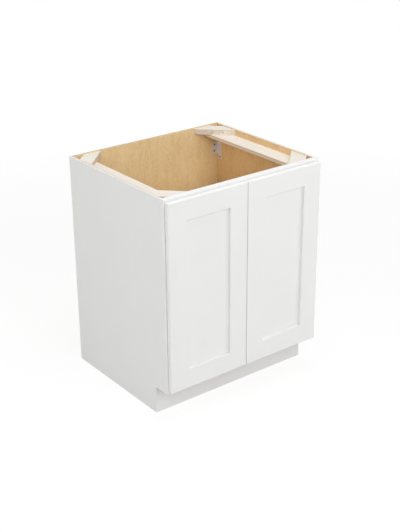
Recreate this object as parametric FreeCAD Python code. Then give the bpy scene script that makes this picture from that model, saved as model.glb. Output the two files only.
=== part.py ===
import FreeCAD, Part
import math
import os

# A framed base cabinet with two overlay doors and two rollout trays, in millimetres.
# The origin is on the floor under the middle of the closed cabinet, the doors face -Y
# and +Z is up. Pieces of the left-hand side are built and the right-hand ones mirrored.

# Overall sizes of the box
cabinet_width = 720.0
cabinet_depth = 609.6
cabinet_height = 876.3
toe_height = 112.0
toe_depth = 73.0

# Sheet and frame stock
panel_thickness = 12.7
back_thickness = 12.7
frame_thickness = 19.0
stile_width = 38.1
top_rail_width = 38.1
bottom_rail_width = 38.1
frame_edge_radius = 1.0
dado_depth = 5.0
rabbet_depth = 6.0

# Stretchers and corner blocks under the worktop
stretcher_width = 70.5
stretcher_thickness = 15.0
block_thickness = 22.0
block_drop = 3.0
front_block_leg = 118.0
rear_block_leg = 121.0
front_block_cut = 32.0
rear_block_cut = 42.0

# Folded brackets in the rear corners
bracket_thickness = 1.6
bracket_bend = 1.0
bracket_height = 54.0
bracket_drop = 76.0
bracket_back_flange = 27.0
bracket_side_flange = 32.0
bracket_tab_width = 19.0
bracket_tab_drop = 21.0
bracket_corner = 3.0

# Doors
door_thickness = 19.0
door_overlay = 33.1
door_top_reveal = 9.3
door_bottom_reveal = 10.0
meeting_gap = 2.2
door_frame_width = 80.0
door_front_radius = 3.0
door_back_radius = 2.8
door_inner_radius = 3.0
door_panel_thickness = 5.2
door_panel_recess = 10.6
door_groove_depth = 10.0
door_panel_float = 1.0
door_tenon_shoulder = 18.0
tenon_clearance = 0.2
groove_clearance = 0.1

# Hinges
hinge_inset = 100.0
cup_radius = 17.5
cup_depth = 12.3
cup_wall = 0.8
cup_setback = 12.6
cup_clearance = 0.05
flange_thickness = 1.2
flange_radius = 19.5
flange_rim = 2.5
cup_screw_spacing = 45.0
cup_screw_offset = 8.0
cup_screw_land = 5.5
cup_wing_corner = 5.0
pin_radius = 1.5
pin_offset = 13.0
pin_depth = 8.6
pin_clearance = 0.05
eye_radius = 2.5
arm_half_width = 5.0
arm_thickness = 2.0
arm_bend = 2.0
ear_gap = 0.4
ear_thickness = 3.0
ear_cover = 1.1
swing_clearance = 0.4
plate_height = 44.0
plate_setback = 1.0
plate_corner = 4.0

# Bumpers behind the meeting stiles
bumper_radius = 4.5
bumper_gap = 0.4
bumper_inset = 13.0

# Rollout trays
tray_height = 101.6
tray_stock = 12.7
tray_bottom_thickness = 6.4
tray_bottom_rise = 10.0
tray_groove_depth = 6.0
tray_bottom_float = 0.5
tray_edge_radius = 2.5
tray_lower_edge_radius = 1.5
tray_clearance = 9.0
upper_tray_height = 458.0
scoop_width = 240.0
scoop_depth = 26.0
scoop_radius = 22.0
scoop_lip_radius = 11.0
tail_count = 3
tail_width = 21.0
tail_slope = 1.0 / 6.0

# Runners and rollers
hinge_room = 10.0
cleat_height = 50.0
cleat_overlap = 10.0
runner_length = 500.0
runner_back_gap = 14.9
runner_setback = 20.0
runner_overhang = 12.0
runner_stock = 1.2
runner_bend = 0.8
runner_space = 12.7
runner_flange_gap = 0.8
runner_headroom = 1.7
tray_seat = 3.0
tray_leg = 14.0
roller_radius = 10.5
roller_width = 7.4
roller_side_gap = 1.0
roller_gap = 0.3
roller_end = 14.0
stud_radius = 2.5
stud_clearance = 0.05

V = FreeCAD.Vector
X = V(1, 0, 0)
Y = V(0, 1, 0)
Z = V(0, 0, 1)
nodes = {}

# How far the door's rear corner reaches from the pin sets the gap behind the door.
pin_from_edge = door_overlay - cup_setback - pin_offset
corner_reach = door_back_radius + math.hypot(
    pin_from_edge - door_back_radius, pin_depth - door_back_radius
)
door_gap = corner_reach + swing_clearance - pin_depth

# Main planes
half_width = cabinet_width / 2
inner = half_width - panel_thickness
back = (cabinet_depth + door_gap + door_thickness) / 2
front = back - cabinet_depth
frame_back = front + frame_thickness
back_inner = back - back_thickness
toe_front = front + toe_depth
deck_top = toe_height + bottom_rail_width
deck_bottom = deck_top - panel_thickness
opening_half = half_width - stile_width
block_top = cabinet_height - block_drop
stretcher_top = block_top - block_thickness
cleat_face = opening_half - hinge_room


def box(x0, x1, y0, y1, z0, z1):
    return Part.makeBox(x1 - x0, y1 - y0, z1 - z0, V(x0, y0, z0))


def rod(radius, start, along):
    return Part.makeCylinder(radius, along.Length, start, along)


def mirrored(shape):
    return shape.mirror(V(0, 0, 0), X)


def group(shapes):
    return Part.makeCompound(shapes)


def joined(shape, *others):
    return shape.fuse(list(others)).removeSplitter()


def without(shape, *tools):
    return shape.cut(list(tools)) if tools else shape


def eased(shape, radius, axis, *tests):
    """Round the edges along one axis, or any axis, whose ends pass every test."""
    chosen = []
    for edge in shape.Edges:
        ends = [vertex.Point for vertex in edge.Vertexes]
        if len(ends) != 2 or not all(test(end) for test in tests for end in ends):
            continue
        run = (ends[1] - ends[0]).normalize()
        if axis is None or abs(run.dot(axis)) > 0.999:
            chosen.append(edge)
    return shape.makeFillet(radius, chosen)


def near(axis, value):
    return lambda point: abs(point.dot(axis) - value) < 1e-4


def between(axis, low, high):
    return lambda point: low < point.dot(axis) < high


def outline(corners, place):
    """A face from (a, b, radius) corners, each rounded by its radius."""
    count = len(corners)
    edges = []
    joints = []
    for index, (a, b, radius) in enumerate(corners):
        here = V(a, b, 0)
        before = V(*corners[index - 1][:2], 0) - here
        after = V(*corners[(index + 1) % count][:2], 0) - here
        before.normalize()
        after.normalize()
        half = before.getAngle(after) / 2
        reach = radius / math.tan(half)
        middle = (before + after).normalize() if radius else V(0, 0, 0)
        depth = radius / math.sin(half) - radius
        joints.append((here + before * reach, here + middle * depth, here + after * reach, radius))
    for index, (start, middle, end, radius) in enumerate(joints):
        if radius:
            edges.append(Part.Arc(place(start), place(middle), place(end)).toShape())
        following = joints[(index + 1) % count][0]
        if (following - end).Length > 1e-6:
            edges.append(Part.LineSegment(place(end), place(following)).toShape())
    return Part.Face(Part.Wire(edges))


def sheet(path, thickness, bend):
    """Corners of a sheet of even thickness folded along a centre line."""
    points = [V(a, b, 0) for a, b in path]
    runs = [(q - p).normalize() for p, q in zip(points, points[1:])]
    normals = [V(-run.y, run.x, 0) for run in runs]
    left = []
    right = []
    for index, point in enumerate(points):
        first = normals[max(index - 1, 0)]
        second = normals[min(index, len(normals) - 1)]
        offset = (first + second) * (thickness / 2 / (1 + first.dot(second)))
        turn = first.cross(second).z
        inside = bend if turn else 0
        outside = bend + thickness if turn else 0
        to_left = inside if turn > 0 else outside
        to_right = outside if turn > 0 else inside
        left.append((point.x + offset.x, point.y + offset.y, to_left))
        right.append((point.x - offset.x, point.y - offset.y, to_right))
    return left + right[::-1]


def on_xy(z):
    return lambda p: V(p.x, p.y, z)


def on_xz(y):
    return lambda p: V(p.x, y, p.y)


def on_yz(x):
    return lambda p: V(x, p.x, p.y)


# Box panels
def side_panel():
    profile = outline(
        [
            (frame_back, cabinet_height, 0),
            (back, cabinet_height, 0),
            (back, 0, 0),
            (toe_front, 0, 0),
            (toe_front, toe_height, 0),
            (frame_back, toe_height, 0),
        ],
        on_yz(-half_width),
    )
    panel = profile.extrude(X * panel_thickness)
    dado = box(-inner - dado_depth, -inner, frame_back, back_inner, deck_bottom, deck_top)
    rabbet = box(-inner - rabbet_depth, -inner, back_inner, back, 0, cabinet_height)
    return without(panel, dado, rabbet)


def back_panel():
    reach = inner + rabbet_depth
    return box(-reach, reach, back_inner, back, 0, cabinet_height)


def bottom_panel():
    reach = inner + dado_depth
    return box(-reach, reach, frame_back, back_inner, deck_bottom, deck_top)


def toe_kick_board():
    return box(-inner, inner, toe_front, toe_front + panel_thickness, 0, deck_bottom)


# Face frame
def frame_stile():
    stile = box(-half_width, -opening_half, front, frame_back, toe_height, cabinet_height)
    return eased(stile, frame_edge_radius, Z, near(Y, front))


def frame_rail(low, high):
    rail = box(-opening_half, opening_half, front, frame_back, low, high)
    return eased(rail, frame_edge_radius, X, near(Y, front))


# Stretchers and corner blocks
def top_stretcher():
    low = stretcher_top - stretcher_thickness
    return box(-inner, stretcher_width - inner, frame_back, back_inner, low, stretcher_top)


def corner_block(wall, sense, leg, cut):
    corners = [
        (-inner, wall + sense * cut, 0),
        (-inner, wall + sense * leg, 0),
        (leg - inner, wall, 0),
        (cut - inner, wall, 0),
    ]
    return outline(corners, on_xy(stretcher_top)).extrude(Z * block_thickness)


# Corner bracket: a flange on the back panel and a tabbed flange on the side panel
bracket_top = cabinet_height - bracket_drop
bracket_low = bracket_top - bracket_height


def corner_bracket():
    middle = bracket_thickness / 2
    fold = [
        (-inner + bracket_back_flange, back_inner - middle),
        (-inner + middle, back_inner - middle),
        (-inner + middle, back_inner - bracket_side_flange),
    ]
    low = bracket_low - bracket_tab_drop
    folded = outline(sheet(fold, bracket_thickness, bracket_bend), on_xy(low))
    folded = folded.extrude(Z * (bracket_top - low))
    side_end = back_inner - bracket_side_flange
    tab_end = side_end + bracket_tab_width
    spare = box(-inner, -inner + bracket_back_flange, tab_end, back_inner, low, bracket_low)
    folded = without(folded, spare)
    folded = eased(folded, bracket_corner, X, between(Y, side_end - 1, side_end + 1))
    folded = eased(folded, bracket_corner, X, near(Y, tab_end), near(Z, low))
    folded = eased(folded, bracket_corner, Y, near(X, -inner + bracket_back_flange))
    return folded


# Hinges, on the left-hand door
door_edge = -opening_half - door_overlay
cup_x = -opening_half - cup_setback
pin_x = cup_x - pin_offset
door_back = front - door_gap
door_front = door_back - door_thickness
pin_y = door_back - pin_depth
door_low = toe_height + door_bottom_reveal
door_high = cabinet_height - door_top_reveal
hinge_heights = [door_low + hinge_inset, door_high - hinge_inset]
plate_near = front + plate_setback
plate_far = frame_back - plate_setback
plate_middle = (plate_near + plate_far) / 2


def hinge_cup(height):
    centre = V(cup_x, door_back, height)
    body = rod(cup_radius, centre, -Y * cup_depth)
    mouth = rod(cup_radius - cup_wall, centre + Y * flange_thickness,
                -Y * (cup_depth - cup_wall + flange_thickness))
    round_land = rod(flange_radius, centre, Y * flange_thickness)
    half = cup_screw_spacing / 2 + cup_screw_land
    land_x = cup_x + cup_screw_offset
    wing_corners = [
        (land_x - cup_screw_land, height - half, cup_wing_corner),
        (land_x + cup_screw_land, height - half, cup_wing_corner),
        (land_x + cup_screw_land, height + half, cup_wing_corner),
        (land_x - cup_screw_land, height + half, cup_wing_corner),
    ]
    wings = outline(wing_corners, on_xz(door_back)).extrude(Y * flange_thickness)
    trimmed_at = cup_x - cup_radius + flange_rim
    trim = box(cup_x - 2 * cup_radius, trimmed_at, door_back, door_back + flange_thickness,
               height - 2 * cup_radius, height + 2 * cup_radius)
    flange = without(round_land.fuse(wings), trim)
    floor = door_back - cup_depth
    ears = []
    for side in (-1, 1):
        near_face = side * (arm_half_width + ear_gap)
        far_face = side * (arm_half_width + ear_gap + ear_thickness)
        ear = box(pin_x - pin_radius - cup_radius, pin_x + pin_radius + ear_cover,
                  floor, pin_y + pin_radius + ear_cover,
                  height + min(near_face, far_face), height + max(near_face, far_face))
        ears.append(ear.common(body))
    cup = without(body.fuse(flange), mouth)
    cup = joined(cup, *ears)
    return without(cup, hinge_pin(height, pin_clearance))


def hinge_pin(height, grown=0.0):
    half = arm_half_width + ear_gap + ear_thickness
    return rod(pin_radius + grown, V(pin_x, pin_y, height - half), Z * (2 * half))


def hinge_arm(height):
    low = arm_thickness / 2 - eye_radius
    upright = -opening_half + arm_thickness / 2
    neck_path = [(pin_x, pin_y + low), (upright, pin_y + low), (upright, plate_middle)]
    neck = outline(sheet(neck_path, arm_thickness, arm_bend), on_xy(height - arm_half_width))
    neck = neck.extrude(Z * (2 * arm_half_width))
    eye = rod(eye_radius, V(pin_x, pin_y, height - arm_half_width), Z * (2 * arm_half_width))
    plate_corners = [
        (plate_near, height - plate_height / 2, plate_corner),
        (plate_far, height - plate_height / 2, plate_corner),
        (plate_far, height + plate_height / 2, plate_corner),
        (plate_near, height + plate_height / 2, plate_corner),
    ]
    plate = outline(plate_corners, on_yz(-opening_half)).extrude(X * arm_thickness)
    arm = joined(neck, eye, plate)
    return without(arm, hinge_pin(height, pin_clearance))


# Left-hand door: a grooved frame round a flat panel
door_inner_edge = -meeting_gap / 2
panel_left = door_edge + door_frame_width
panel_right = door_inner_edge - door_frame_width
panel_low = door_low + door_frame_width
panel_high = door_high - door_frame_width
panel_front = door_front + door_panel_recess
panel_back = panel_front + door_panel_thickness


def door_blank():
    blank = box(door_edge, door_inner_edge, door_front, door_back, door_low, door_high)
    blank = eased(blank, door_front_radius, None, near(Y, door_front))
    blank = eased(blank, door_back_radius, None, near(Y, door_back))
    window = box(panel_left, panel_right, door_front, door_back, panel_low, panel_high)
    blank = without(blank, window)
    inside_x = between(X, panel_left - 1, panel_right + 1)
    inside_z = between(Z, panel_low - 1, panel_high + 1)
    blank = eased(blank, door_inner_radius, None, near(Y, door_front), inside_x, inside_z)
    groove = box(panel_left - door_groove_depth, panel_right + door_groove_depth,
                 panel_front, panel_back + groove_clearance,
                 panel_low - door_groove_depth, panel_high + door_groove_depth)
    return without(blank, groove)


def tenon(end, sense, low, high, grown=0.0):
    length = door_groove_depth - tenon_clearance + grown
    far = end + sense * length
    return box(min(end, far), max(end, far), panel_front, panel_back, low - grown, high + grown)


def door_pieces():
    blank = door_blank()
    top_tenon = (panel_high + door_groove_depth, door_high - door_tenon_shoulder)
    bottom_tenon = (door_low + door_tenon_shoulder, panel_low - door_groove_depth)
    rails = {
        "door_top_rail": (panel_high, door_high, *top_tenon),
        "door_bottom_rail": (door_low, panel_low, *bottom_tenon),
    }
    stiles = {
        "door_hinge_stile": (door_edge, panel_left),
        "door_meeting_stile": (panel_right, door_inner_edge),
    }
    pieces = {}
    mortises = []
    for name, (low, high, tenon_low, tenon_high) in rails.items():
        rail = blank.common(box(panel_left, panel_right, door_front, door_back, low, high))
        ends = [(panel_left, -1), (panel_right, 1)]
        pieces[name] = joined(rail, *[tenon(x, s, tenon_low, tenon_high) for x, s in ends])
        mortises += [tenon(x, s, tenon_low, tenon_high, tenon_clearance) for x, s in ends]
    for name, (low, high) in stiles.items():
        stile = blank.common(box(low, high, door_front, door_back, door_low, door_high))
        pieces[name] = without(stile, *mortises)
    bores = []
    for height in hinge_heights:
        centre = V(cup_x, door_back, height)
        bores.append(rod(cup_radius + cup_clearance, centre, -Y * (cup_depth + cup_clearance)))
    pieces["door_hinge_stile"] = without(pieces["door_hinge_stile"], *bores)
    held = door_groove_depth - door_panel_float
    pieces["door_panel"] = box(panel_left - held, panel_right + held, panel_front, panel_back,
                               panel_low - held, panel_high + held)
    pieces["door_bumpers"] = group([door_bumper(z) for z in
                                    (door_low + bumper_inset, door_high - bumper_inset)])
    pieces["hinge_cups"] = group([hinge_cup(height) for height in hinge_heights])
    return pieces


def door_bumper(height):
    seat = V(door_inner_edge - bumper_inset, door_back, height)
    return rod(bumper_radius, seat, Y * (door_gap - bumper_gap))


# Rollout trays and what carries them; every height is counted from the runner's underside
tray_setback = cabinet_depth - back_thickness - runner_back_gap - runner_length - runner_setback
tray_depth = runner_setback + runner_length - runner_overhang
tray_front = front + tray_setback
tray_back = tray_front + tray_depth
tray_side = -cleat_face + runner_space
runner_front = tray_front + runner_setback
runner_back = runner_front + runner_length
axle_rise = runner_stock + roller_gap + roller_radius
tray_flange_rise = axle_rise + roller_radius + roller_gap
channel_height = tray_flange_rise + 2 * runner_stock + runner_headroom
lower_tray_low = deck_top + tray_clearance
tray_lows = {"upper": upper_tray_height, "lower": lower_tray_low}
web_face = -cleat_face + runner_stock
tray_web_face = tray_side - runner_stock
roller_near = tray_web_face - roller_side_gap
roller_far = roller_near - roller_width
front_axle_y = runner_front + roller_end
rear_axle_y = runner_back - roller_end


def runner_cleat(tray_low):
    low = tray_low - tray_seat - cleat_overlap
    low = max(low, deck_top)
    return box(-inner, -cleat_face, frame_back, back_inner, low, low + cleat_height)


def cabinet_runner(tray_low):
    """A channel that opens towards the tray, with a stud for its front roller."""
    low = tray_low - tray_seat
    middle = runner_stock / 2
    web_x = -cleat_face + middle
    flange_x = tray_web_face - runner_flange_gap
    path = [
        (flange_x, low + middle),
        (web_x, low + middle),
        (web_x, low + channel_height - middle),
        (flange_x, low + channel_height - middle),
    ]
    profile = outline(sheet(path, runner_stock, runner_bend), on_xz(runner_front))
    runner = profile.extrude(Y * runner_length)
    axle = V(web_face, front_axle_y, low + axle_rise)
    return joined(runner, rod(stud_radius, axle, X * (roller_near - web_face)))


def tray_runner(tray_low):
    """A leg under the tray's side and a flange over the rollers, with a stud for the rear one."""
    low = tray_low - tray_seat
    middle = runner_stock / 2
    web_x = tray_side - middle
    flange_z = low + tray_flange_rise + middle
    path = [
        (tray_side + tray_leg, tray_low - middle),
        (web_x, tray_low - middle),
        (web_x, flange_z),
        (roller_far, flange_z),
    ]
    profile = outline(sheet(path, runner_stock, runner_bend), on_xz(runner_front))
    runner = profile.extrude(Y * runner_length)
    axle = V(tray_web_face, rear_axle_y, low + axle_rise)
    return joined(runner, rod(stud_radius, axle, X * (roller_far - tray_web_face)))


def roller(axle_y, tray_low):
    """A nylon wheel bored for its stud."""
    end = V(roller_far, axle_y, tray_low - tray_seat + axle_rise)
    wheel = rod(roller_radius, end, X * roller_width)
    return without(wheel, rod(stud_radius + stud_clearance, end, X * roller_width))


def tails(end_y, sense, low):
    """The dovetails that one end of a tray side cuts into the board across it."""
    pitch = tray_height / tail_count
    shapes = []
    for index in range(tail_count):
        middle = low + pitch * (index + 0.5)
        half_end = tail_width / 2
        half_root = half_end - tray_stock * tail_slope
        root_y = end_y + sense * tray_stock
        corners = [
            (end_y, middle - half_end, 0),
            (end_y, middle + half_end, 0),
            (root_y, middle + half_root, 0),
            (root_y, middle - half_root, 0),
        ]
        shapes.append(outline(corners, on_yz(tray_side)).extrude(X * tray_stock))
    return shapes


def tray_pieces(low):
    high = low + tray_height
    side_inner = tray_side + tray_stock
    ends = [(tray_front, 1), (tray_back, -1)]
    held = tray_groove_depth - tray_bottom_float
    floor_low = low + tray_bottom_rise
    floor_high = floor_low + tray_bottom_thickness
    groove_x = side_inner - tray_groove_depth
    groove_front = tray_front + tray_stock - tray_groove_depth
    groove_back = tray_back - tray_stock + tray_groove_depth
    groove = box(groove_x, -groove_x, groove_front, groove_back, floor_low, floor_high + groove_clearance)

    side = box(tray_side, side_inner, tray_front, tray_back, low, high)
    side = eased(side, tray_edge_radius, Y, near(Z, high))
    side = eased(side, tray_lower_edge_radius, Y, near(Z, low))
    end_cuts = []
    for end_y, sense in ends:
        across = sorted((end_y, end_y + sense * tray_stock))
        corner = box(tray_side, side_inner, *across, low, high)
        end_cuts.append(without(corner, *tails(end_y, sense, low)))
    side = without(side, *end_cuts, groove)

    boards = []
    for end_y, sense in ends:
        across = sorted((end_y, end_y + sense * tray_stock))
        board = box(tray_side, -tray_side, *across, low, high)
        if sense > 0:
            board = scooped(board, across, high)
        board = eased(board, tray_edge_radius, X, near(Z, high))
        board = eased(board, tray_lower_edge_radius, Y, near(Z, low))
        sockets = tails(end_y, sense, low)
        sockets += [mirrored(socket) for socket in sockets]
        boards.append(without(board, *sockets, groove))

    floor = box(side_inner - held, held - side_inner,
                tray_front + tray_stock - held, tray_back - tray_stock + held, floor_low, floor_high)
    return {
        "tray_front": boards[0],
        "tray_back": boards[1],
        "tray_left_side": side,
        "tray_right_side": mirrored(side),
        "tray_bottom": floor,
    }


def scooped(board, across, high):
    """A hand hold cut down into the top edge of the tray's front."""
    half = scoop_width / 2
    corners = [
        (-half - scoop_radius, high + scoop_radius, 0),
        (-half - scoop_radius, high, scoop_lip_radius),
        (-half, high - scoop_depth, scoop_radius),
        (half, high - scoop_depth, scoop_radius),
        (half + scoop_radius, high, scoop_lip_radius),
        (half + scoop_radius, high + scoop_radius, 0),
    ]
    cutter = outline(corners, on_xz(across[0])).extrude(Y * tray_stock)
    return without(board, cutter)


# The fixed cabinet
front_block = corner_block(frame_back, 1, front_block_leg, front_block_cut)
rear_block = corner_block(back_inner, -1, rear_block_leg, rear_block_cut)

handed = {
    "side_panel": side_panel(),
    "frame_stile": frame_stile(),
    "top_stretcher": top_stretcher(),
    "corner_bracket": corner_bracket(),
    "hinge_arms": group([hinge_arm(height) for height in hinge_heights]),
    "hinge_pins": group([hinge_pin(height) for height in hinge_heights]),
}
for name, shape in handed.items():
    nodes["left_" + name] = shape
    nodes["right_" + name] = mirrored(shape)
nodes["front_left_corner_block"] = front_block
nodes["front_right_corner_block"] = mirrored(front_block)
nodes["rear_left_corner_block"] = rear_block
nodes["rear_right_corner_block"] = mirrored(rear_block)
nodes["back_panel"] = back_panel()
nodes["bottom_panel"] = bottom_panel()
nodes["toe_kick_board"] = toe_kick_board()
nodes["top_frame_rail"] = frame_rail(cabinet_height - top_rail_width, cabinet_height)
nodes["bottom_frame_rail"] = frame_rail(toe_height, deck_top)

# The doors
for name, shape in door_pieces().items():
    nodes["left_" + name] = shape
    nodes["right_" + name] = mirrored(shape)

# The trays, their runners and their rollers
cleats = []
for level, low in tray_lows.items():
    for name, shape in tray_pieces(low).items():
        nodes[level + "_" + name] = shape
    pairs = {
        "tray_runners": tray_runner(low),
        "cabinet_runners": cabinet_runner(low),
        "front_rollers": roller(front_axle_y, low),
        "rear_rollers": roller(rear_axle_y, low),
    }
    for name, shape in pairs.items():
        nodes[level + "_" + name] = group([shape, mirrored(shape)])
    cleats.append(runner_cleat(low))
nodes["runner_cleats"] = group(cleats + [mirrored(c) for c in cleats])

os.makedirs("parts", exist_ok=True)
for name, shape in nodes.items():
    shape.exportStep("parts/" + name + ".step")
print(len(nodes), "nodes, door gap", round(door_gap, 3))
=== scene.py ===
import math
from collections import namedtuple

import bmesh
import bpy
from mathutils import Matrix, Vector


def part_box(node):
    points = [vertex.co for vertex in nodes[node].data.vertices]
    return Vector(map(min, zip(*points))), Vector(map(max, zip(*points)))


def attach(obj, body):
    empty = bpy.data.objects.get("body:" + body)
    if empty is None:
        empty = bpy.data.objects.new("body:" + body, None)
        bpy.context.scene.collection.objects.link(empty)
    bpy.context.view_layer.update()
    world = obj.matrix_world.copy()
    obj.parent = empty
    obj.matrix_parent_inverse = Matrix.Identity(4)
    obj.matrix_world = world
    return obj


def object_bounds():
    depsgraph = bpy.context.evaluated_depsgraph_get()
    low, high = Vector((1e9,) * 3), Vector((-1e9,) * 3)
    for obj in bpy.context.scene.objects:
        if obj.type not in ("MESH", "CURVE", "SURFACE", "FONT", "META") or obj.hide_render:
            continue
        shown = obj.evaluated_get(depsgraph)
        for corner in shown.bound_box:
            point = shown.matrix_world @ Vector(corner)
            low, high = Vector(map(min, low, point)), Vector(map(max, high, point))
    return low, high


# The looks of a white framed base cabinet with rollout trays, in metres, round its solids.

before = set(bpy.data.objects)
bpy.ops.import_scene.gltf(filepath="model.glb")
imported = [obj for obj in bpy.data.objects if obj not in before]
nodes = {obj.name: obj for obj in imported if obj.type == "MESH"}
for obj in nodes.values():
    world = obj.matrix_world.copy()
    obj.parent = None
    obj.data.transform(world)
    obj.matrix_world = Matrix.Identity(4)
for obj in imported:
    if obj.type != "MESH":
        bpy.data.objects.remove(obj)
cad_low, cad_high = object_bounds()

# Camera, solved from the corners of the box in the photograph
image_height = 532
focal_pixels = 1057.63
sensor_width = 36.0
camera_azimuth = -37.396
camera_elevation = 24.274
camera_roll = -0.497
camera_place = Vector((-2.2992, -3.0349, 2.1446))

# Studio: the floor's shadow reaches out from the object and fades
floor_size = 60.0
floor_bounce = 0.70
lit_floor = 0.85
shadow_share = 0.15
shadow_reach = 1.6
shadow_fade = 1.4
white = 1.0
ambient_strength = 0.20

# Lamps: place, width and power in watts
light_target = Vector((0.0, 0.0, 0.5))
lamps = {
    "front": (Vector((-0.6, -4.3, 3.2)), 3.2, 86.0),
    "fill": (Vector((-2.5, -2.4, 2.9)), 2.6, 26.0),
    "left": (Vector((-3.9, 0.3, 2.1)), 2.5, 53.0),
    "right": (Vector((2.9, -3.0, 0.6)), 2.0, 44.0),
    "rear": (Vector((1.6, 4.2, 2.2)), 3.0, 12.0),
    "top": (Vector((0.4, -0.2, 3.25)), 2.0, 33.0),
}

# Finishes, as linear colours; woods and layers run from dark to light
paint_colour = (0.86, 0.86, 0.852)
laminate_colour = (0.85, 0.85, 0.842)
maple_tones = ((0.663, 0.477, 0.236), (0.857, 0.652, 0.365), (0.928, 0.772, 0.494))
# Inside veneer of the side panels: the same maple drawn darker and redder than on the back, as painted
# shade and warm bounce light on the side walls
shaded_side_maple_tones = ((0.579, 0.354, 0.152), (0.719, 0.484, 0.241), (0.82, 0.612, 0.338))
pale_tones = ((0.76, 0.68, 0.57), (0.832, 0.785, 0.705), (0.89, 0.845, 0.76))
pine_tones = ((0.50, 0.34, 0.17), (0.68, 0.50, 0.29), (0.78, 0.62, 0.41))
panel_layers = ((0.70, 0.60, 0.48), (0.80, 0.735, 0.64))
stretcher_layers = ((0.60, 0.46, 0.33), (0.80, 0.68, 0.54))
maple_layers = ((0.50, 0.34, 0.18), (0.60, 0.43, 0.25))
block_ends = ((0.57, 0.46, 0.36), (0.82, 0.74, 0.64))
board_ends = ((0.36, 0.215, 0.10), (0.56, 0.375, 0.20))
block_tone = 0.97
zinc_colour = (0.77, 0.735, 0.74)
nickel_colour = (0.66, 0.64, 0.61)
dark_steel_colour = (0.10, 0.09, 0.085)
bright_steel_colour = (0.60, 0.59, 0.57)
epoxy_colour = (0.83, 0.83, 0.80)
nylon_colour = (0.84, 0.835, 0.80)
bumper_colour = (0.80, 0.80, 0.78)

# Least and greatest roughness of each surface, then specular levels and the share of bare metal
paint_gloss = (0.36, 0.46)
laminate_gloss = (0.40, 0.52)
grain_gloss = (0.42, 0.54)
end_gloss = (0.58, 0.70)
ply_gloss = (0.60, 0.74)
zinc_gloss = (0.40, 0.56)
nickel_gloss = (0.22, 0.36)
dark_steel_gloss = (0.36, 0.52)
bright_steel_gloss = (0.26, 0.40)
epoxy_gloss = (0.22, 0.34)
nylon_gloss = (0.42, 0.54)
bumper_gloss = (0.28, 0.42)
paint_specular = 0.30
veneer_specular = 0.40
block_specular = 0.35
board_specular = 0.42
zinc_metallic = 0.25

# Ranges that hold most of one noise, nearly all of it, and most of the sum of two
middle_band = (0.35, 0.65)
wide_band = (0.3, 0.7)
sum_band = (0.7, 1.3)

# Sprayed coat, and the veneer's streaks under it
coat_cloud_scale = 5.0
coat_skin_scale = 420.0
coat_skin_height = 0.00002
coat_tones = (0.990, 1.008)
speck_scale = 1800.0
speck_band = (0.62, 0.80)
speck_share = 0.06
speck_tone = 0.90
streak_scale = (90.0, 90.0, 2.0)
streak_band = (0.45, 0.70)
streak_share = 0.35
streak_tone = 0.980
streak_height = 0.00002

# Layers of long grain: scales across and along it, the noise, and the weight in the tone
Layer = namedtuple("Layer", "across along detail roughness distortion weight", defaults=(0.0, 0.0))
cloud_layer = Layer(across=14.0, along=8.0, detail=4.0, roughness=0.55, distortion=0.8, weight=0.32)
figure_layer = Layer(across=38.0, along=6.0, detail=4.0, roughness=0.6, distortion=1.6, weight=0.14)
fleck_layer = Layer(across=170.0, along=80.0, detail=2.0, roughness=0.6, weight=0.34)
fibre_layer = Layer(across=420.0, along=9.0, detail=3.0, roughness=0.6, weight=0.20)
pore_layer = Layer(across=1500.0, along=55.0, detail=1.0, roughness=0.5)
block_figure = figure_layer._replace(across=30.0)
grain_middle = 0.5
grain_reach = 0.20
pale_contrast = 0.8
pore_band = (0.62, 0.78)
pore_share = 0.30
fibre_height = 0.00003

# End grain, drawn out upright on the blocks
upright_end_scale = (520.0, 520.0, 40.0)
plain_end_scale = (300.0, 300.0, 300.0)
end_cloud_scale = 60.0
end_row_weight = 0.75
end_cloud_weight = 0.25
end_band = (0.36, 0.64)
end_height = 0.00006

# Sawn edges of plywood
fine_ply_pitch = 0.0042
coarse_ply_pitch = 0.0080
ply_wobble_scale = 40.0
ply_wobble = 0.0004
dark_ply_band = (0.0, 0.9)
saw_scale = 700.0
saw_band = (0.45, 0.75)
saw_share = 0.25
saw_tone = 0.80
saw_height = 0.00005

# Plating and moulding
plate_cloud_scale = 90.0
plate_tones = (0.86, 1.08)
plate_mark_scale = 1200.0
plate_mark_height = 0.00001
mould_cloud_scale = 120.0
mould_tones = (0.95, 1.02)
mould_skin_scale = 2600.0
mould_skin_height = 0.00001

# Where one finish gives way to another, by depth and by the way a face looks
laminate_depth = 0.0030
finish_depth = 0.0055
veneer_depth = 0.0006
face_softness = 0.1
finish_softness = 0.2
veneer_softness = 0.005
forward_band = (-0.6, -0.4)
upward_band = (0.4, 0.6)
slant_band = (0.2, 0.3)

# Small shapes
arris = 0.0005
arris_segments = 2
arris_angle = math.radians(40)
weld_distance = 0.00001
same_point = 0.000001
head_segments = 32
head_rings = 10
head_radius = 0.0033
head_rise = 0.0013
flush_rise = 0.0002
head_crown = 0.45
shank_radius = head_radius / 2
shank_depth = 0.003
recess_half_width = 0.0005
recess_half_length = 0.0019
recess_depth = 0.0009
nail_radius = 0.0017
nail_flat_radius = nail_radius * 0.8
nail_rise = 0.0002
nail_shank_depth = 0.004
nail_point_depth = 0.012
nail_spots = (0.19, 0.70)

# Places of the screws: shares of a bracket's box, then sizes in metres
bracket_screw_across = 0.56
bracket_screw_heights = (0.46, 0.82)
tab_screw_along = 0.30
tab_screw_height = 0.14
bracket_sheet = 0.0016
plate_screw_reach = 0.014
cup_screw_inset = 0.0115
cup_screw_land = 0.0055
runner_screw_end = 0.060
runner_sheet = 0.0012

# The two hands, each with the direction from its side into the cabinet
hands = {"left": Vector((1.0, 0.0, 0.0)), "right": Vector((-1.0, 0.0, 0.0))}
levels = ("upper", "lower")
ends = ("front", "rear")
X, Y, Z = range(3)


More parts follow.
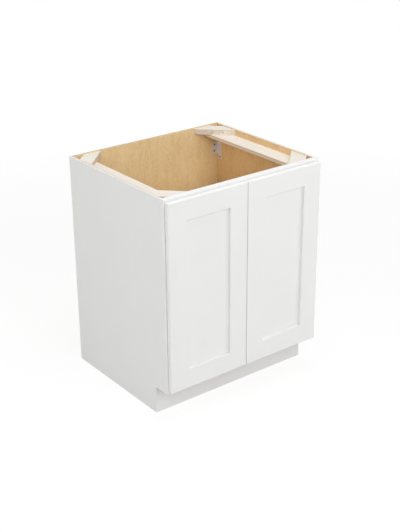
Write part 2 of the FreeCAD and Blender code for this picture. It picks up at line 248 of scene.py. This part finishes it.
class Graph:
    """One material's node tree, with a short call for each kind of node in use."""

    def __init__(self, name):
        self.material = bpy.data.materials.new(name)
        self.material.use_nodes = True
        self.tree = self.material.node_tree
        self.shader = self.tree.nodes["Principled BSDF"]
        coordinates = self.tree.nodes.new("ShaderNodeTexCoord")
        self.place = coordinates.outputs["Object"]
        self.normal = coordinates.outputs["Normal"]

    def node(self, kind, inputs, **settings):
        made = self.tree.nodes.new(kind)
        for key, value in settings.items():
            setattr(made, key, value)
        for key, value in inputs.items():
            self.put(value, made.inputs[key])
        return made

    def put(self, value, socket):
        """Link a socket, or set a plain value."""
        if isinstance(value, bpy.types.NodeSocket):
            self.tree.links.new(value, socket)
        elif isinstance(value, tuple) and len(value) == 3 and socket.type == "RGBA":
            socket.default_value = (*value, 1.0)
        else:
            socket.default_value = value

    def axes(self, vector):
        return self.node("ShaderNodeSeparateXYZ", {"Vector": vector}).outputs

    def stretched(self, scale):
        """The place, with each axis scaled by itself."""
        return self.node("ShaderNodeMapping", {"Vector": self.place, "Scale": scale}).outputs["Vector"]

    def noise(self, vector, scale=1.0, detail=2.0, roughness=0.5, distortion=0.0):
        values = {"Vector": vector, "Scale": scale, "Detail": detail}
        values.update({"Roughness": roughness, "Distortion": distortion})
        return self.node("ShaderNodeTexNoise", values).outputs["Fac"]

    def maths(self, operation, first, second=0.0):
        return self.node("ShaderNodeMath", {0: first, 1: second}, operation=operation).outputs["Value"]

    def weighted(self, *pairs):
        """The sum of values, each times its weight."""
        total = None
        for value, weight in pairs:
            part = self.maths("MULTIPLY", value, weight)
            total = part if total is None else self.maths("ADD", total, part)
        return total

    def span(self, value, band, reach=(0.0, 1.0)):
        """Carry value from one range to another, held at the ends."""
        values = {"Value": value, "From Min": band[0], "From Max": band[1]}
        values.update({"To Min": reach[0], "To Max": reach[1]})
        return self.node("ShaderNodeMapRange", values, clamp=True).outputs["Result"]

    def ramp(self, factor, stops):
        made = self.node("ShaderNodeValToRGB", {"Fac": factor})
        elements = made.color_ramp.elements
        while len(elements) < len(stops):
            elements.new(1.0)
        for element, (position, colour) in zip(elements, stops):
            element.position = position
            element.color = (*colour, 1.0)
        return made.outputs["Color"]

    def mix(self, factor, first, second):
        made = self.node("ShaderNodeMix", {}, data_type="RGBA")
        self.put(factor, made.inputs["Factor"])
        self.put(first, made.inputs[6])
        self.put(second, made.inputs[7])
        return made.outputs[2]

    def blend(self, factor, first, second):
        made = self.node("ShaderNodeMix", {}, data_type="FLOAT")
        self.put(factor, made.inputs["Factor"])
        self.put(first, made.inputs[2])
        self.put(second, made.inputs[3])
        return made.outputs[0]

    def finish(self, surface, **sockets):
        """Lead a surface of (colour, roughness, height) to the shader and set plain sockets."""
        colour, roughness, height = surface
        self.put(colour, self.shader.inputs["Base Color"])
        self.put(roughness, self.shader.inputs["Roughness"])
        bump = self.node("ShaderNodeBump", {"Height": height, "Strength": 1.0, "Distance": 1.0})
        self.put(bump.outputs["Normal"], self.shader.inputs["Normal"])
        for key, value in sockets.items():
            self.put(value, self.shader.inputs[key.replace("_", " ")])
        return self.material


def tinted(colour, share):
    return tuple(part * share for part in colour)


def around(depth, softness):
    """A narrow range about a depth."""
    return depth * (1.0 - softness), depth * (1.0 + softness)


def clouded(graph, clouds, colour, tones):
    """A colour that drifts between two tones of itself."""
    return graph.mix(graph.span(clouds, middle_band), tinted(colour, tones[0]), tinted(colour, tones[1]))


def layered(graph, mask, first, second):
    """The first surface where mask is 0 and the second where it is 1."""
    colour = graph.mix(mask, first[0], second[0])
    roughness = graph.blend(mask, first[1], second[1])
    height = graph.blend(mask, first[2], second[2])
    return colour, roughness, height


# Surfaces: each gives a colour, a roughness and a height in metres
def coat(graph, colour, gloss):
    """A sprayed coat: faint clouds, orange peel and an uneven sheen."""
    clouds = graph.noise(graph.place, coat_cloud_scale, detail=4.0, roughness=0.55)
    skin = graph.noise(graph.place, coat_skin_scale)
    speck = graph.noise(graph.place, speck_scale, detail=1.0)
    tone = clouded(graph, clouds, colour, coat_tones)
    tone = graph.mix(graph.span(speck, speck_band, (0.0, speck_share)), tone, tinted(colour, speck_tone))
    roughness = graph.span(graph.maths("ADD", clouds, skin), sum_band, gloss)
    return tone, roughness, graph.maths("MULTIPLY", skin, coat_skin_height)


def streaked_coat(graph, colour, gloss):
    """A coat on a veneered sheet, with the grain just showing through upright."""
    tone, roughness, height = coat(graph, colour, gloss)
    lines = graph.noise(graph.stretched(streak_scale), detail=3.0, roughness=0.6)
    streaks = graph.span(lines, streak_band, (0.0, streak_share))
    tone = graph.mix(streaks, tone, tinted(colour, streak_tone))
    return tone, roughness, graph.maths("ADD", height, graph.maths("MULTIPLY", lines, streak_height))


def grain(graph, along, tones, contrast=1.0, figure=figure_layer):
    """Long grain that runs along one axis: clouds, a wavy figure, flecks, fibres and pores."""
    def drawn(layer):
        scale = [layer.across] * 3
        scale[along] = layer.along
        place = graph.stretched(tuple(scale))
        return graph.noise(place, detail=layer.detail, roughness=layer.roughness,
                           distortion=layer.distortion)

    fibres = drawn(fibre_layer)
    pores = drawn(pore_layer)
    parts = [(drawn(layer), layer.weight) for layer in (cloud_layer, figure, fleck_layer)]
    tone = graph.weighted(*parts, (fibres, fibre_layer.weight))
    reach = grain_reach / contrast
    dark, middle, light = tones
    colour = graph.ramp(graph.span(tone, (grain_middle - reach, grain_middle + reach)),
                        [(0.0, dark), (0.5, middle), (1.0, light)])
    colour = graph.mix(graph.span(pores, pore_band, (0.0, pore_share)), colour, dark)
    roughness = graph.span(fibres, wide_band, grain_gloss)
    return colour, roughness, graph.maths("MULTIPLY", fibres, fibre_height)


def end_grain(graph, tones, scale):
    """The cut end of a board: rings and rows of pores."""
    rows = graph.noise(graph.stretched(scale), detail=3.0, roughness=0.7)
    clouds = graph.noise(graph.place, end_cloud_scale)
    tone = graph.weighted((rows, end_row_weight), (clouds, end_cloud_weight))
    dark, light = tones
    colour = graph.ramp(graph.span(tone, end_band), [(0.0, dark), (1.0, light)])
    roughness = graph.span(rows, wide_band, end_gloss)
    return colour, roughness, graph.maths("MULTIPLY", rows, end_height)


def plies(graph, depth, pitch, layers):
    """The edge of plywood: pale and dark layers across the sheet, rough from the saw."""
    dark, light = layers
    wobble = graph.noise(graph.place, ply_wobble_scale)
    shifted = graph.maths("ADD", depth, graph.maths("MULTIPLY", wobble, ply_wobble))
    wave = graph.maths("SINE", graph.maths("MULTIPLY", shifted, 2.0 * math.pi / pitch))
    saw = graph.noise(graph.place, saw_scale)
    colour = graph.mix(graph.span(wave, dark_ply_band), light, dark)
    colour = graph.mix(graph.span(saw, saw_band, (0.0, saw_share)), colour, tinted(light, saw_tone))
    roughness = graph.span(saw, wide_band, ply_gloss)
    return colour, roughness, graph.maths("MULTIPLY", saw, saw_height)


def faces_mask(graph, axis, low, high, depth):
    """The depth from the low face along one axis, and a mask that is 0 on the two faces and 1 between."""
    position = graph.axes(graph.place)[axis]
    from_low = graph.maths("SUBTRACT", position, low)
    from_high = graph.maths("SUBTRACT", high, position)
    nearest = graph.maths("MINIMUM", from_low, from_high)
    return from_low, graph.span(nearest, around(depth, face_softness))


# Materials
def painted(name, colour, gloss):
    graph = Graph(name)
    return graph.finish(coat(graph, colour, gloss), Specular_IOR_Level=paint_specular)


def side_panel_ply():
    """White laminate outside, maple veneer inside drawn darker and redder as painted shade, and plies
    between, by depth from outside.
    """
    graph = Graph("side_panel_ply")
    low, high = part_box("left_side_panel")
    thickness = high.x - low.x
    across = graph.maths("ABSOLUTE", graph.axes(graph.place)["X"])
    depth = graph.maths("SUBTRACT", cad_high.x, across)
    outside = streaked_coat(graph, laminate_colour, laminate_gloss)
    # The inside veneer takes the darker, redder maple tones, which are painted shade and bounce light on
    # the side walls
    veneer = grain(graph, Z, shaded_side_maple_tones)
    edge = plies(graph, depth, fine_ply_pitch, panel_layers)
    inside = thickness - veneer_depth
    past_laminate = graph.span(depth, around(laminate_depth, face_softness))
    in_veneer = graph.span(depth, (inside * (1.0 - veneer_softness), inside))
    surface = layered(graph, past_laminate, outside, edge)
    surface = layered(graph, in_veneer, surface, veneer)
    notch = graph.span(graph.axes(graph.normal)["Y"], forward_band, (1.0, 0.0))
    surface = layered(graph, notch, surface, outside)
    return graph.finish(surface, Specular_IOR_Level=veneer_specular)


def sheet_ply(name, node, axis, along, tones, pitch, layers, contrast=1.0, finished=0.0):
    """Plywood with veneered faces and layered edges, whose outer part can carry white finish."""
    graph = Graph(name)
    low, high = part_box(node)
    depth, edge = faces_mask(graph, axis, low[axis], high[axis], veneer_depth)
    veneer = grain(graph, along, tones, contrast)
    surface = layered(graph, edge, veneer, plies(graph, depth, pitch, layers))
    if finished:
        from_high = graph.maths("SUBTRACT", high[axis], graph.axes(graph.place)[axis])
        upward = graph.span(graph.axes(graph.normal)["Z"], upward_band)
        outer = graph.span(from_high, around(finished, finish_softness), (1.0, 0.0))
        white_finish = coat(graph, laminate_colour, laminate_gloss)
        surface = layered(graph, graph.maths("MULTIPLY", upward, outer), surface, white_finish)
    return graph.finish(surface, Specular_IOR_Level=veneer_specular)


def block_wood():
    """Pale sheet with upright end grain on the slanting cuts."""
    graph = Graph("block_wood")
    tones = [tinted(tone, block_tone) for tone in pale_tones]
    face = grain(graph, X, tones, pale_contrast, block_figure)
    cut = end_grain(graph, block_ends, upright_end_scale)
    direction = graph.axes(graph.normal)
    slant = graph.maths("ABSOLUTE", graph.maths("MULTIPLY", direction["X"], direction["Y"]))
    surface = layered(graph, graph.span(slant, slant_band), face, cut)
    return graph.finish(surface, Specular_IOR_Level=block_specular)


def board(name, node, along, tones):
    """A solid board with long grain, and end grain where its two ends show."""
    graph = Graph(name)
    low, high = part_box(node)
    face = grain(graph, along, tones)
    cut = end_grain(graph, board_ends, plain_end_scale)
    inside = faces_mask(graph, along, low[along], high[along], arris)[1]
    return graph.finish(layered(graph, inside, cut, face), Specular_IOR_Level=board_specular)


def metal(name, colour, gloss, metallic=1.0):
    """Plated steel with clouds in the plating and fine marks; metallic is 1 for clean metal."""
    graph = Graph(name)
    clouds = graph.noise(graph.place, plate_cloud_scale, detail=3.0, roughness=0.6)
    marks = graph.noise(graph.place, plate_mark_scale)
    tone = clouded(graph, clouds, colour, plate_tones)
    roughness = graph.span(graph.maths("ADD", clouds, marks), sum_band, gloss)
    height = graph.maths("MULTIPLY", marks, plate_mark_height)
    return graph.finish((tone, roughness, height), Metallic=metallic)


def moulded(name, colour, gloss, **sockets):
    """Moulded plastic: a fine even texture and slight clouding."""
    graph = Graph(name)
    clouds = graph.noise(graph.place, mould_cloud_scale, detail=3.0)
    skin = graph.noise(graph.place, mould_skin_scale, detail=1.0)
    tone = clouded(graph, clouds, colour, mould_tones)
    roughness = graph.span(skin, wide_band, gloss)
    return graph.finish((tone, roughness, graph.maths("MULTIPLY", skin, mould_skin_height)), **sockets)


# Geometry helpers
def soften(node):
    """Ease the sharp arrises of a board without touching its mesh."""
    piece = nodes[node]
    weld = piece.modifiers.new("weld", "WELD")
    weld.merge_threshold = weld_distance
    bevel = piece.modifiers.new("arris", "BEVEL")
    bevel.width = arris
    bevel.segments = arris_segments
    bevel.limit_method = "ANGLE"
    bevel.angle_limit = arris_angle
    piece.modifiers.new("shading", "WEIGHTED_NORMAL")


def islands(node):
    """The corners of each separate solid in a node's mesh."""
    work = bmesh.new()
    work.from_mesh(nodes[node].data)
    bmesh.ops.remove_doubles(work, verts=work.verts, dist=same_point)
    found = []
    seen = set()
    for start in work.verts:
        if start in seen:
            continue
        seen.add(start)
        waiting = [start]
        members = []
        while waiting:
            vertex = waiting.pop()
            members.append(vertex.co.copy())
            for edge in vertex.link_edges:
                other = edge.other_vert(vertex)
                if other not in seen:
                    seen.add(other)
                    waiting.append(other)
        found.append(members)
    work.free()
    return found


def solids(node):
    """Low and high corners of each separate solid in a node."""
    boxes = []
    for points in islands(node):
        low = Vector([min(p[i] for p in points) for i in range(3)])
        high = Vector([max(p[i] for p in points) for i in range(3)])
        boxes.append((low, high))
    return boxes


def cross_recess(u, v):
    """How deep the driver's recess is at a place on a screw's head."""
    deepest = 0.0
    for along, across in ((abs(u), abs(v)), (abs(v), abs(u))):
        if across < recess_half_width and along < recess_half_length:
            deepest = max(deepest, recess_depth * (1.0 - (along / recess_half_length) ** 2) ** 0.5)
    return deepest


def turned(work, seat, outward, profile, sink=None):
    """Turn a profile of (radius, height) about outward; it starts and ends on the axis."""
    side = outward.orthogonal().normalized()
    other = outward.cross(side)
    rings = []
    for radius, height in profile:
        count = head_segments if radius > 0.0 else 1
        ring = []
        for index in range(count):
            angle = 2.0 * math.pi * index / count
            u = radius * math.cos(angle)
            v = radius * math.sin(angle)
            level = height - (sink(u, v) if sink and height > 0.0 else 0.0)
            ring.append(work.verts.new(seat + side * u + other * v + outward * level))
        rings.append(ring)
    for first, second in zip(rings, rings[1:]):
        for index in range(head_segments):
            following = (index + 1) % head_segments
            corners = [first[index % len(first)], first[following % len(first)],
                       second[following % len(second)], second[index % len(second)]]
            work.faces.new(list(dict.fromkeys(corners)))


def screw_profile(rise):
    """A domed head that stands out by rise, with a short shank that closes it below."""
    steps = [head_radius * i / head_rings for i in range(head_rings + 1)]
    dome = [(r, rise * (1.0 - head_crown * (r / head_radius) ** 3)) for r in steps]
    shank = [(shank_radius, -recess_depth), (shank_radius, -shank_depth), (0.0, -shank_depth)]
    return dome + [(head_radius, 0.0)] + shank


def nail_profile():
    """A flat head that just stands out, on a pointed shank."""
    head = [(0.0, nail_rise), (nail_flat_radius, nail_rise), (nail_radius, 0.0)]
    return head + [(nail_radius, -nail_shank_depth), (0.0, -nail_point_depth)]


def piece_from(name, work, body, material):
    """Make a smooth piece of what was turned, and let it ride on its body."""
    bmesh.ops.recalc_face_normals(work, faces=work.faces)
    mesh = bpy.data.meshes.new(name)
    work.to_mesh(mesh)
    work.free()
    mesh.materials.append(material)
    for polygon in mesh.polygons:
        polygon.use_smooth = True
    piece = bpy.data.objects.new(name, mesh)
    bpy.context.scene.collection.objects.link(piece)
    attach(piece, body)


# Fasteners, which the solids leave out
def screws(name, body, material, seats, rise):
    """Cross-recessed heads at each (place, outward direction)."""
    work = bmesh.new()
    for seat, outward in seats:
        turned(work, seat, outward, screw_profile(rise), cross_recess)
    piece_from(name, work, body, material)


def bracket_seats():
    """Two screws in the rear flange of each bracket and one in its side tab."""
    seats = []
    for hand, inward in hands.items():
        low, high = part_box(hand + "_corner_bracket")
        size = high - low
        wall = low.x if inward.x > 0 else high.x
        rear = Vector((wall, high.y - bracket_sheet, low.z)) + inward * size.x * bracket_screw_across
        for share in bracket_screw_heights:
            seats.append((rear + Vector((0.0, 0.0, size.z * share)), Vector((0.0, -1.0, 0.0))))
        tab = Vector((wall, low.y + size.y * tab_screw_along, low.z + size.z * tab_screw_height))
        seats.append((tab + inward * bracket_sheet, inward))
    return seats


def plate_seats():
    """Two screws in the plate of each hinge arm."""
    seats = []
    for hand, inward in hands.items():
        stile_low, stile_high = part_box(hand + "_frame_stile")
        for low, high in solids(hand + "_hinge_arms"):
            middle = (stile_low + stile_high) / 2
            middle.x = high.x if inward.x > 0 else low.x
            middle.z = (low.z + high.z) / 2
            for side in (-1.0, 1.0):
                seats.append((middle + Vector((0.0, 0.0, side * plate_screw_reach)), inward))
    return seats


def cup_seats(hand):
    """Two flush screws in the wings of each hinge cup."""
    seats = []
    for low, high in solids(hand + "_hinge_cups"):
        x = high.x - cup_screw_inset if hands[hand].x > 0 else low.x + cup_screw_inset
        for z in (low.z + cup_screw_land, high.z - cup_screw_land):
            seats.append((Vector((x, high.y, z)), Vector((0.0, 1.0, 0.0))))
    return seats


def runner_spots(low, high):
    """Three places along a runner, between its low and high corners."""
    return low.y + runner_screw_end, (low.y + high.y) / 2, high.y - runner_screw_end


def cabinet_runner_seats():
    """Three screws through the web of each cabinet runner."""
    seats = []
    for level in levels:
        for low, high in solids(level + "_cabinet_runners"):
            inward = hands["left"] if low.x < 0 else hands["right"]
            web = low.x if low.x < 0 else high.x
            for y in runner_spots(low, high):
                seat = Vector((web, y, (low.z + high.z) / 2)) + inward * runner_sheet
                seats.append((seat, inward))
    return seats


def tray_runner_seats(level):
    """Three screws up through the leg of each tray runner."""
    seats = []
    low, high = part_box(level + "_tray_runners")
    for hand in hands:
        side_low, side_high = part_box(level + "_tray_" + hand + "_side")
        middle = (side_low.x + side_high.x) / 2
        for y in runner_spots(low, high):
            seats.append((Vector((middle, y, side_low.z - runner_sheet)), Vector((0.0, 0.0, -1.0))))
    return seats


def block_nails(material):
    """Two nail heads in the slanting face of each corner block."""
    work = bmesh.new()
    for end in ends:
        for hand in hands:
            low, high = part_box(end + "_" + hand + "_corner_block")
            at_side, off_side = (low.x, high.x) if hand == "left" else (high.x, low.x)
            at_wall, off_wall = (low.y, high.y) if end == "front" else (high.y, low.y)
            middle = (low.z + high.z) / 2
            start = Vector((off_side, at_wall, middle))
            finish = Vector((at_side, off_wall, middle))
            run = (finish - start).normalized()
            outward = Vector((run.y, -run.x, 0.0))
            if outward.dot(start) > 0:
                outward = -outward
            for spot in nail_spots:
                turned(work, start.lerp(finish, spot), outward, nail_profile())
    piece_from("block_nails", work, "cabinet", material)


# Stage
def make_camera():
    azimuth = math.radians(camera_azimuth)
    elevation = math.radians(camera_elevation)
    roll = math.radians(camera_roll)
    back = Vector((math.sin(azimuth) * math.cos(elevation),
                   -math.cos(azimuth) * math.cos(elevation), math.sin(elevation)))
    level = Vector((math.cos(azimuth), math.sin(azimuth), 0.0))
    upright = back.cross(level)
    right = level * math.cos(roll) + upright * math.sin(roll)
    up = upright * math.cos(roll) - level * math.sin(roll)
    data = bpy.data.cameras.new("photo_camera")
    data.sensor_width = sensor_width
    data.lens = focal_pixels * sensor_width / image_height
    camera = bpy.data.objects.new("photo_camera", data)
    bpy.context.scene.collection.objects.link(camera)
    turn = Matrix((right, up, back)).transposed()
    camera.matrix_world = Matrix.Translation(camera_place) @ turn.to_4x4()
    bpy.context.scene.camera = camera


def seen_directly(tree):
    """1 for rays from the camera, from mirrors and through glass."""
    path = tree.nodes.new("ShaderNodeLightPath")
    total = path.outputs["Is Camera Ray"]
    for name in ("Is Glossy Ray", "Is Transmission Ray"):
        larger = tree.nodes.new("ShaderNodeMath")
        larger.operation = "MAXIMUM"
        tree.links.new(total, larger.inputs[0])
        tree.links.new(path.outputs[name], larger.inputs[1])
        total = larger.outputs["Value"]
    return total


def make_world():
    """White to the camera, and a faint even light to all else."""
    world = bpy.data.worlds.new("studio")
    world.use_nodes = True
    tree = world.node_tree
    lighting = tree.nodes["Background"]
    lighting.inputs["Color"].default_value = (1.0, 1.0, 1.0, 1.0)
    lighting.inputs["Strength"].default_value = ambient_strength
    shown = tree.nodes.new("ShaderNodeBackground")
    shown.inputs["Color"].default_value = (1.0, 1.0, 1.0, 1.0)
    shown.inputs["Strength"].default_value = white
    mixed = tree.nodes.new("ShaderNodeMixShader")
    tree.links.new(seen_directly(tree), mixed.inputs[0])
    tree.links.new(lighting.outputs["Background"], mixed.inputs[1])
    tree.links.new(shown.outputs["Background"], mixed.inputs[2])
    tree.links.new(mixed.outputs["Shader"], tree.nodes["World Output"].inputs["Surface"])
    bpy.context.scene.world = world


def floor_material():
    """White to the camera, with the object's shadow kept near it, and pale to other light."""
    graph = Graph("studio_floor")
    tree = graph.tree
    distance = graph.node("ShaderNodeVectorMath", {0: graph.place}, operation="LENGTH").outputs["Value"]
    share = graph.span(distance, (shadow_reach, shadow_reach + shadow_fade), (shadow_share, 0.0))
    glow = graph.maths("SUBTRACT", white, graph.maths("MULTIPLY", share, lit_floor))
    tone = graph.mix(share, (0.0, 0.0, 0.0), (1.0, 1.0, 1.0))
    lit = graph.node("ShaderNodeBsdfDiffuse", {"Color": tone})
    glowing = graph.node("ShaderNodeEmission", {"Strength": glow})
    shown = graph.node("ShaderNodeAddShader", {0: lit.outputs["BSDF"], 1: glowing.outputs["Emission"]})
    bounce = graph.node("ShaderNodeBsdfDiffuse", {"Color": (floor_bounce,) * 3})
    mixed = graph.node("ShaderNodeMixShader", {0: seen_directly(tree), 1: bounce.outputs["BSDF"],
                                               2: shown.outputs["Shader"]})
    tree.links.new(mixed.outputs["Shader"], tree.nodes["Material Output"].inputs["Surface"])
    tree.nodes.remove(graph.shader)
    return graph.material


def make_floor():
    half = floor_size / 2
    mesh = bpy.data.meshes.new("studio_floor")
    corners = [(-half, -half, 0.0), (half, -half, 0.0), (half, half, 0.0), (-half, half, 0.0)]
    mesh.from_pydata(corners, [], [(0, 1, 2, 3)])
    mesh.materials.append(floor_material())
    floor = bpy.data.objects.new("studio_floor", mesh)
    bpy.context.scene.collection.objects.link(floor)


def make_lamp(name, place, size, power):
    """A round soft lamp, turned to the object."""
    data = bpy.data.lights.new(name, "AREA")
    data.shape = "DISK"
    data.size = size
    data.energy = power
    lamp = bpy.data.objects.new(name, data)
    bpy.context.scene.collection.objects.link(lamp)
    lamp.location = place
    lamp.rotation_mode = "QUATERNION"
    lamp.rotation_quaternion = (light_target - place).to_track_quat("-Z", "Y")


# Dress the solids
paint = painted("satin_white_paint", paint_colour, paint_gloss)
epoxy = painted("white_epoxy", epoxy_colour, epoxy_gloss)
back_ply = sheet_ply("back_ply", "back_panel", Y, Z, maple_tones, fine_ply_pitch, maple_layers,
                     finished=finish_depth)
deck_ply = sheet_ply("deck_ply", "bottom_panel", Z, X, maple_tones, fine_ply_pitch, maple_layers)
stretcher_ply = sheet_ply("stretcher_ply", "left_top_stretcher", Z, Y, pale_tones,
                          coarse_ply_pitch, stretcher_layers, pale_contrast)
across_board = board("tray_board_across", "upper_tray_front", X, maple_tones)
along_board = board("tray_board_along", "upper_tray_left_side", Y, maple_tones)
cleat_board = board("cleat_pine", "runner_cleats", Y, pine_tones)
nickel = metal("nickel_plate", nickel_colour, nickel_gloss)
zinc = metal("zinc_plate", zinc_colour, zinc_gloss, zinc_metallic)
dark_steel = metal("dark_steel", dark_steel_colour, dark_steel_gloss)
bright_steel = metal("bright_steel", bright_steel_colour, bright_steel_gloss)
nylon = moulded("white_nylon", nylon_colour, nylon_gloss, Subsurface_Weight=0.12, Subsurface_Scale=0.002)
soft_clear = moulded("soft_bumper", bumper_colour, bumper_gloss, Transmission_Weight=0.45, IOR=1.46)

doors = [hand + "_door_" + part for hand in hands
         for part in ("hinge_stile", "meeting_stile", "top_rail", "bottom_rail", "panel")]
frame_pieces = ["left_frame_stile", "right_frame_stile", "top_frame_rail", "bottom_frame_rail",
                "toe_kick_board"]
blocks = [end + "_" + hand + "_corner_block" for end in ends for hand in hands]
hinge_parts = ("_hinge_arms", "_hinge_cups", "_hinge_pins")
dressing = {
    paint: doors + frame_pieces,
    side_panel_ply(): ["left_side_panel", "right_side_panel"],
    back_ply: ["back_panel"],
    deck_ply: ["bottom_panel"],
    stretcher_ply: ["left_top_stretcher", "right_top_stretcher"],
    block_wood(): blocks,
    across_board: [level + part for level in levels for part in ("_tray_front", "_tray_back")],
    along_board: [level + part for level in levels for part in ("_tray_left_side", "_tray_right_side")],
    cleat_board: ["runner_cleats"],
    zinc: ["left_corner_bracket", "right_corner_bracket"],
    nickel: [hand + part for hand in hands for part in hinge_parts],
    epoxy: [level + part for level in levels for part in ("_cabinet_runners", "_tray_runners")],
    nylon: [level + part for level in levels for part in ("_front_rollers", "_rear_rollers")],
    soft_clear: ["left_door_bumpers", "right_door_bumpers"],
}
for level in levels:
    floor_ply = sheet_ply(level + "_tray_floor", level + "_tray_bottom", Z, X, maple_tones,
                          fine_ply_pitch, maple_layers)
    dressing[floor_ply] = [level + "_tray_bottom"]
for material, names in dressing.items():
    for name in names:
        nodes[name].data.materials.clear()
        nodes[name].data.materials.append(material)

softened = ["left_side_panel", "right_side_panel", "back_panel", "bottom_panel", "toe_kick_board",
            "left_top_stretcher", "right_top_stretcher"] + blocks
for name in softened:
    soften(name)

screws("corner_bracket_screws", "cabinet", dark_steel, bracket_seats(), head_rise)
screws("hinge_plate_screws", "cabinet", bright_steel, plate_seats(), head_rise)
screws("runner_screws", "cabinet", bright_steel, cabinet_runner_seats(), head_rise)
for hand in hands:
    screws(hand + "_cup_screws", hand + "_door", bright_steel, cup_seats(hand), flush_rise)
for level in levels:
    seats = tray_runner_seats(level)
    screws(level + "_tray_screws", level + "_rollout", bright_steel, seats, head_rise)
block_nails(dark_steel)

make_camera()
make_world()
make_floor()
for name, lamp in lamps.items():
    make_lamp(name, *lamp)
bpy.context.scene.view_settings.view_transform = "Standard"
